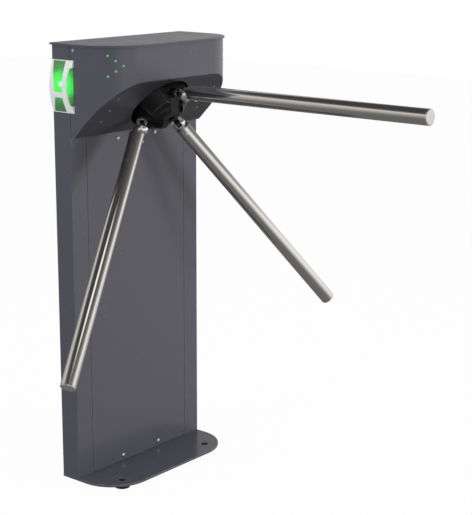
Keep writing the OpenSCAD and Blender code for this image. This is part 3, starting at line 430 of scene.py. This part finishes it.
def painted(name, colour, roughness, grain=900.0, bump=0.25, drift=0.10, dust=0.0, wear_and_highlight_amount=0.5,
            coat=0.0, specular=0.5, wear_and_highlight_colour=BARE_STEEL):
    """Sprayed or powder-coated metal, lighter along rounded edges: rubbed paint on most coats, a painted
    highlight on the gloss black hub.
    """
    material, tree, shader = new_material(name)
    place = (add(tree, "ShaderNodeTexCoord"), "Object")
    edge = (add(tree, "ShaderNodeAttribute", attribute_name="edge"), "Fac")
    coating = add(tree, "ShaderNodeGroup", {
        "Place": place, "Colour": (*colour, 1.0), "Grain": grain,
        "Drift": drift, "Roughness": roughness, "Dust": dust}, node_tree=COAT)
    wear_and_highlight = add(tree, "ShaderNodeGroup", {"Place": place, "Edge": edge, "Amount": wear_and_highlight_amount}, node_tree=EDGE_WEAR_AND_HIGHLIGHT)
    set_inputs(tree, shader, {
        "Base Color": blended(tree, (wear_and_highlight, "Mask"), (coating, "Colour"), wear_and_highlight_colour),
        "Roughness": (coating, "Roughness"),
        "Coat Weight": coat,
        "Coat Roughness": CLEAR_ROUGHNESS,
        "Specular IOR Level": specular,
        "Normal": bumped(tree, (coating, "Height"), bump, GRAIN_DEPTH)})
    return material


def metal(name, colour, roughness, line=900.0, smear=0.06, bump=0.05, lay=True):
    """Bare or plated metal with lines along its lay, or without a lay along the object's height."""
    material, tree, shader = new_material(name)
    if lay:
        place = (add(tree, "ShaderNodeAttribute", attribute_name="lay"), "Vector")
    else:
        place = (add(tree, "ShaderNodeTexCoord"), "Object")
    polish = add(tree, "ShaderNodeGroup", {
        "Lay": place, "Line": line, "Roughness": roughness, "Smear": smear}, node_tree=POLISH)
    set_inputs(tree, shader, {
        "Base Color": blended(tree, 1.0, (*colour, 1.0), grey(tree, (polish, "Tone")), "MULTIPLY"),
        "Roughness": (polish, "Roughness"),
        "Metallic": 1.0,
        "Normal": bumped(tree, (polish, "Height"), bump, LINE_DEPTH)})
    return material


def moulded(name, colour, roughness, grain=1400.0, bump=0.08, drift=0.06, coat=0.0, glow=(0.0, 0.0, 0.0)):
    """Moulded plastic or rubber; glow is painted light, an even emission standing in for the green light
    that the lit lens beside it throws into and onto the moulding.
    """
    material = painted(name, colour, roughness, grain=grain, bump=bump, drift=drift, wear_and_highlight_amount=0.0, coat=coat)
    shader = material.node_tree.nodes["Principled BSDF"]
    set_inputs(material.node_tree, shader, {"Emission Color": (*glow, 1.0), "Emission Strength": 1.0})
    return material


# Lens plastic: uneven glow, uneven roughness and its clear surface
CLOUD_SPREAD = (-0.08, 0.08)
FROST_LESS = 0.04
FROST_MORE = 0.06
LENS_COAT = 0.4
LENS_COAT_ROUGHNESS = 0.05


def lit(name, colour, lamp, reach, steps, roughness):
    """Translucent plastic over a lamp: the glow falls with the distance from the lamp in Y and Z.

    The distance is sqrt(((y - lamp y) / reach y)^2 + ((z - lamp z) / reach z)^2).
    The steps of the glow are (distance, colour)."""
    material, tree, shader = new_material(name)
    place = (add(tree, "ShaderNodeTexCoord"), "Object")
    parts = add(tree, "ShaderNodeSeparateXYZ", {0: place})
    squares = []
    for axis, centre, span in zip("YZ", lamp, reach):
        away = calculated(tree, "SUBTRACT", (parts, axis), centre)
        share = calculated(tree, "DIVIDE", away, span)
        squares.append(calculated(tree, "MULTIPLY", share, share))
    distance = calculated(tree, "SQRT", calculated(tree, "ADD", *squares))
    cloud = spread(tree, noise(tree, place, 90.0, detail=3.0), NOISE_SPAN, CLOUD_SPREAD)
    uneven = calculated(tree, "ADD", distance, cloud, clamp=True)
    frost = spread(tree, noise(tree, place, 700.0, detail=3.0), NOISE_SPAN,
                   (roughness - FROST_LESS, roughness + FROST_MORE))
    set_inputs(tree, shader, {
        "Base Color": (*colour, 1.0),
        "Roughness": frost,
        "Emission Color": ramped(tree, uneven, steps),
        "Emission Strength": 1.0,
        "Coat Weight": LENS_COAT,
        "Coat Roughness": LENS_COAT_ROUGHNESS})
    return material


# The finishes, by material slot. Glow steps are (distance from the lamp, colour)
LENS_GLOW = (
    (0.0, (0.62, 1.0, 0.74)),
    (0.07, (0.45, 1.0, 0.55)),
    (0.15, (0.06, 0.98, 0.09)),
    (0.42, (0.05, 0.70, 0.07)),
    (0.66, (0.045, 0.22, 0.05)),
    (1.0, (0.04, 0.085, 0.045)),
)
ARROW_GLOW = (
    (0.0, (0.07, 0.26, 0.09)),
    (1.0, (0.07, 0.26, 0.09)),
)
LENS_LAMP = (LENS_LAMP_Y, LIGHT_Z + LENS_LAMP_RISE)
ARROW_LAMP = (0.0, 0.98)
ARROW_REACH = (2.0, 2.0)
# Painted highlight: a lighter black along the hub's rounded edges that stands in for light catching its
# ridges
PAINTED_EDGE_HIGHLIGHT = (0.085, 0.085, 0.085, 1.0)
MATERIALS = {
    "graphite_paint": painted(
        "graphite powder coat", (0.107, 0.107, 0.128), 0.23, bump=0.05, drift=0.04, dust=0.03),
    "dark_paint": painted("dark underside coat", (0.045, 0.043, 0.053), 0.32, bump=0.12, wear_and_highlight_amount=0.3),
    "base_paint": painted(
        "base plate coat", (0.100, 0.100, 0.121), 0.20, bump=0.04, dust=0.03, coat=0.25),
    # The gloss black hub's lighter rounded edges are a painted highlight along its ridges
    "hub_black": painted(
        "gloss black coat", (0.0090, 0.0090, 0.0092), 0.27, grain=220.0, bump=0.06,
        wear_and_highlight_amount=0.9, coat=0.04, specular=0.18, wear_and_highlight_colour=PAINTED_EDGE_HIGHLIGHT),
    "polished_steel": metal("polished tube", (0.74, 0.71, 0.67), 0.085, smear=0.02),
    "chrome_steel": metal("bright plating", (0.88, 0.87, 0.85), 0.07, smear=0.03, bump=0.02, lay=False),
    "satin_cap": metal("satin turned cap", (0.84, 0.83, 0.81), 0.33, lay=False),
    "stainless": metal("stainless screws", (0.95, 0.95, 0.94), 0.24, lay=False),
    "zinc_steel": metal("zinc plating", (0.50, 0.51, 0.53), 0.32, lay=False),
    "black_steel": metal("black oxide", (0.03, 0.03, 0.03), 0.35, lay=False),
    "bearing_steel": metal("ground bearing steel", (0.64, 0.65, 0.67), 0.15, lay=False),
    "cast_alloy": metal("cast alloy", (0.52, 0.53, 0.55), 0.45, lay=False),
    "magnet_nickel": metal("nickel plating", (0.58, 0.57, 0.54), 0.14, lay=False),
    "sensor_brass": metal("turned brass", (0.66, 0.50, 0.22), 0.25, lay=False),
    "rubber_black": moulded("black rubber", (0.018, 0.018, 0.019), 0.75, bump=0.3),
    # The white moulding's faint green glow is painted light from the lit lens beside it
    "white_plastic": moulded(
        "white moulding", (0.90, 0.90, 0.89), 0.25, bump=0.03, coat=0.4, glow=(0.10, 0.13, 0.10)),
    "black_plastic": moulded("black moulding", (0.02, 0.02, 0.022), 0.5),
    "board_green": moulded("circuit board", (0.02, 0.17, 0.06), 0.4, grain=300.0),
    "green_lens": lit("lit green lens", (0.03, 0.13, 0.04), LENS_LAMP, LENS_REACH, LENS_GLOW, 0.2),
    "green_led": lit("green light", (0.16, 0.40, 0.19), ARROW_LAMP, ARROW_REACH, ARROW_GLOW, 0.15),
}


def finish_with(piece, slot):
    """Gives a piece the material of its slot, alone."""
    piece.data.materials.clear()
    piece.data.materials.append(MATERIALS[slot])
    return piece


# Every CAD node gets the finish of its slot. The pieces below then take the place of most visible ones
for node_name, cad in frame["nodes"].items():
    finish_with(cad, SLOT_OF[node_name])

# Pieces whose edges are rounded, each with the width of its rounding in metres
ROUNDING = {
    "base_plate": 0.0016,
    "foot_rings": 0.0008,
    "column_shell": 0.0005,
    "front_panel": 0.0005,
    "head_cover": 0.0006,
    "underside_plate": 0.0004,
    "top_lid": 0.0008,
    "bezel_left": 0.0005,
    "bezel_right": 0.0005,
    "hub_body": 0.0010,
    "panel_screws": 0.0002,
    "cover_screws": 0.0002,
    "underside_screws": 0.0002,
    "lid_screws": 0.0002,
    "hub_bolt": 0.0004,
    "pivot_pins": 0.0003,
    "column_bolts": 0.0003,
    "arm_1_knuckle": 0.0005,
    "arm_2_knuckle": 0.0005,
    "arm_3_knuckle": 0.0005,
    "arm_1_screw": 0.0002,
    "arm_2_screw": 0.0002,
    "arm_3_screw": 0.0002,
}

# Edges that turn by more degrees than this are rounded. Some of the hub's turn by only 24 to 30
SHARP_ANGLE = 35.0
HUB_SHARP_ANGLE = 24.0

for node_name, width in ROUNDING.items():
    least = HUB_SHARP_ANGLE if node_name == "hub_body" else SHARP_ANGLE
    # The underside screws take the zinc finish in place of their slot's: painted shade, the duller plating
    # standing in for the dark that they reflect under the head
    slot = "zinc_steel" if node_name == "underside_screws" else SLOT_OF[node_name]
    finish_with(softened(node_name, width, least), slot)


# Arm tubes and caps

def arm_tube(arm, origin, axes):
    """Polished tube, a closed ring with rounded lips at both ends of its outside."""
    end = ARM_LENGTH - CAP_FLANGE
    inner = TUBE_R - TUBE_WALL
    profile = (arc((TUBE_R - TUBE_LIP_R, TUBE_START + TUBE_LIP_R), TUBE_LIP_R, -90, 0, LIP_STEPS)
               + arc((TUBE_R - TUBE_LIP_R, end - TUBE_LIP_R), TUBE_LIP_R, 0, 90, LIP_STEPS)
               + [(inner, end), (inner, TUBE_START)])
    verts, faces = turned(profile, origin, axes, ROUND_STEPS)
    tube = facing_out(mesh_object(f"tube_{arm}", verts, faces, f"arm_{arm}"))
    lay_along(tube, origin, axes)
    finish_with(tube, "polished_steel")
    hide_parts(f"arm_{arm}_tube")


def arm_cap(arm, origin, axes):
    """Turned end cap: a plug inside the tube and a flange with a rounded edge."""
    end = ARM_LENGTH - CAP_FLANGE
    plug_r = TUBE_R - TUBE_WALL - PLUG_CLEAR
    profile = ([(0, end - CAP_PLUG), (plug_r, end - CAP_PLUG), (plug_r, end), (TUBE_R - CAP_SETBACK, end)]
               + arc((TUBE_R - CAP_EDGE_R, ARM_LENGTH - CAP_EDGE_R), CAP_EDGE_R, 0, 90, CAP_EDGE_STEPS)
               + [(TUBE_R / 2, ARM_LENGTH), (0, ARM_LENGTH)])
    verts, faces = capped(profile, origin, axes, ROUND_STEPS)
    cap = facing_out(mesh_object(f"end_cap_{arm}", verts, faces, f"arm_{arm}",
                                 CAP_SHADE_ANGLE))
    finish_with(cap, "satin_cap")
    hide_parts(f"arm_{arm}_cap")


for station in range(ARM_COUNT):
    origin, axes = arm_frame(station)
    arm_tube(station + 1, origin, axes)
    arm_cap(station + 1, origin, axes)

# Camera, fitted to the photograph: image sizes in pixels, place in metres, angles in degrees
IMAGE = (472, 515)
FOCAL_PIXELS = 1380.8
PRINCIPAL = (233.5, 255.8)
SENSOR = 36.0
CAMERA_PLACE = (-2.3057, -2.1519, 1.2772)
CAMERA_YAW = -50.69
CAMERA_PITCH = 13.57
CAMERA_ROLL = 0.17
NEAREST = 0.05


def fitted_camera():
    """The camera that looks from CAMERA_PLACE along yaw and pitch, rolled about that direction."""
    yaw, pitch, roll = map(math.radians, (CAMERA_YAW, CAMERA_PITCH, CAMERA_ROLL))
    ahead = Vector((-math.sin(yaw) * math.cos(pitch), math.cos(yaw) * math.cos(pitch), -math.sin(pitch)))
    level = ahead.cross(Vector((0, 0, 1))).normalized()
    upright = level.cross(ahead)
    right = level * math.cos(roll) + upright * math.sin(roll)
    above = upright * math.cos(roll) - level * math.sin(roll)
    data = bpy.data.cameras.new("camera")
    camera = bpy.data.objects.new("camera", data)
    bpy.context.scene.collection.objects.link(camera)
    bpy.context.scene.camera = camera
    rows = [(*row, place) for row, place in zip(zip(right, above, -ahead), CAMERA_PLACE)]
    camera.matrix_world = Matrix((*rows, (0, 0, 0, 1)))
    data.sensor_width = SENSOR
    data.lens = FOCAL_PIXELS / IMAGE[1] * SENSOR
    data.shift_x = (IMAGE[0] / 2 - PRINCIPAL[0]) / IMAGE[1]
    data.shift_y = (PRINCIPAL[1] - IMAGE[1] / 2) / IMAGE[1]
    data.clip_start = NEAREST


# Softboxes: name, place, point they face, size in metres, watts and colour
SOFTBOXES = (
    ("top_softbox", (-0.2, -0.6, 3.4), (0, 0, 0.6), (2.2, 2.2), 26.0, (1.0, 1.0, 1.0)),
    ("front_softbox", (1.5, -3.2, 0.42), (0, 0, 0.12), (1.4, 0.9), 52.0, (1.0, 1.0, 1.0)),
    ("left_softbox", (-3.4, 0.2, 1.6), (0, 0, 0.6), (1.2, 2.2), 35.0, (0.93, 0.96, 1.0)),
)


def area_light(name, place, target, size, power, colour):
    """A rectangular lamp that mirrors don't show."""
    data = bpy.data.lights.new(name, "AREA")
    data.shape = "RECTANGLE"
    data.size, data.size_y = size
    data.energy = power
    data.color = colour
    lamp = bpy.data.objects.new(name, data)
    bpy.context.scene.collection.objects.link(lamp)
    lamp.location = place
    lamp.visible_glossy = False
    lamp.rotation_euler = (Vector(target) - Vector(place)).to_track_quat("-Z", "Y").to_euler()


# Brightness of the room in mirrors, by the sine of the height above the horizon
FRONT_RIGHT = ((-1.0, 0.22), (-0.62, 0.18), (-0.45, 0.30), (-0.28, 0.58), (-0.10, 0.92), (0.05, 1.15),
               (0.16, 1.0), (0.30, 0.40), (0.47, 0.20), (0.64, 0.12), (1.0, 0.10))
BACK_LEFT = ((-1.0, 0.17), (-0.40, 0.19), (-0.12, 0.28), (0.12, 0.48), (0.35, 0.66), (0.50, 0.80),
             (0.60, 0.30), (0.72, 0.07), (1.0, 0.06))

# Directions in that room, and the cosines over which one part of it gives way to the next
TOWARDS_FRONT_RIGHT = (0.707, -0.707, 0.0)
SIDE_SPAN = (0.0, 0.45)
TOWARDS_GAP = (0.77, 0.64, 0.0)
GAP_SPAN = (0.55, 0.90)
GAP_TONE = 0.7
TOWARDS_LAMP = (-0.296, -0.459, 0.838)
LAMP_SPAN = (0.970, 0.989)
LAMP_COLOUR = (1.25, 1.25, 1.22, 1.0)
ROOM_COLOUR = (0.36, 0.36, 0.37, 1.0)
WHITE = (1.0, 1.0, 1.0, 1.0)


def by_height(tree, height, steps):
    """Grey that follows a height from -1 to 1; steps are (height, brightness)."""
    share = spread(tree, height, (-1.0, 1.0), (0.0, 1.0))
    return ramped(tree, share, [((where + 1) / 2, (tone, tone, tone)) for where, tone in steps])


def studio_world():
    """White for the camera. Mirrors show a bright horizon, a window at the back left and a lamp above."""
    world = bpy.data.worlds.new("studio")
    world.use_nodes = True
    tree = world.node_tree
    path = add(tree, "ShaderNodeLightPath")
    place = (add(tree, "ShaderNodeTexCoord"), "Generated")
    height = (add(tree, "ShaderNodeSeparateXYZ", {0: place}), "Z")
    side = spread(tree, along_direction(tree, place, TOWARDS_FRONT_RIGHT), SIDE_SPAN, (0.0, 1.0))
    room = blended(tree, side, by_height(tree, height, BACK_LEFT), by_height(tree, height, FRONT_RIGHT))
    gap = spread(tree, along_direction(tree, place, TOWARDS_GAP), GAP_SPAN, (1.0, GAP_TONE))
    dimmed = blended(tree, 1.0, room, grey(tree, gap), "MULTIPLY")
    lamp = spread(tree, along_direction(tree, place, TOWARDS_LAMP), LAMP_SPAN, (0.0, 1.0))
    mirrored = blended(tree, lamp, dimmed, LAMP_COLOUR)
    plain = blended(tree, (path, "Is Glossy Ray"), ROOM_COLOUR, mirrored)
    seen = blended(tree, (path, "Is Camera Ray"), plain, WHITE)
    feed(tree, tree.nodes["Background"].inputs["Color"], seen)
    bpy.context.scene.world = world


# Half the floor's side in metres, its grey in plain light, and how much of it the camera sees as white
FLOOR_HALF = 8.0
FLOOR_GREY = (0.5, 0.5, 0.5, 1.0)
FLOOR_WHITENESS = 0.97
FLOOR_ROUGHNESS = 0.6
FLOOR_GLOSS = 0.1


def studio_floor():
    """A pale floor that the camera sees as white with the object's soft shadow. Mirrors don't show it."""
    far = FLOOR_HALF
    mesh = bpy.data.meshes.new("floor")
    mesh.from_pydata([(-far, -far, 0), (far, -far, 0), (far, far, 0), (-far, far, 0)], [], [(0, 1, 2, 3)])
    floor = bpy.data.objects.new("floor", mesh)
    bpy.context.scene.collection.objects.link(floor)
    floor.visible_glossy = False
    material, tree, shader = new_material("pale floor")
    camera_ray = (add(tree, "ShaderNodeLightPath"), "Is Camera Ray")
    set_inputs(tree, shader, {
        "Base Color": blended(tree, camera_ray, FLOOR_GREY, WHITE),
        "Roughness": FLOOR_ROUGHNESS,
        "Specular IOR Level": FLOOR_GLOSS})
    glow = add(tree, "ShaderNodeEmission", {"Color": WHITE, "Strength": 1.0})
    share = calculated(tree, "MULTIPLY", camera_ray, FLOOR_WHITENESS)
    mix = add(tree, "ShaderNodeMixShader", {0: share, 1: (shader, 0), 2: (glow, 0)})
    feed(tree, tree.nodes["Material Output"].inputs["Surface"], (mix, 0))
    floor.data.materials.append(material)


fitted_camera()
for softbox in SOFTBOXES:
    area_light(*softbox)
studio_world()
studio_floor()
bpy.context.scene.view_settings.view_transform = "Standard"
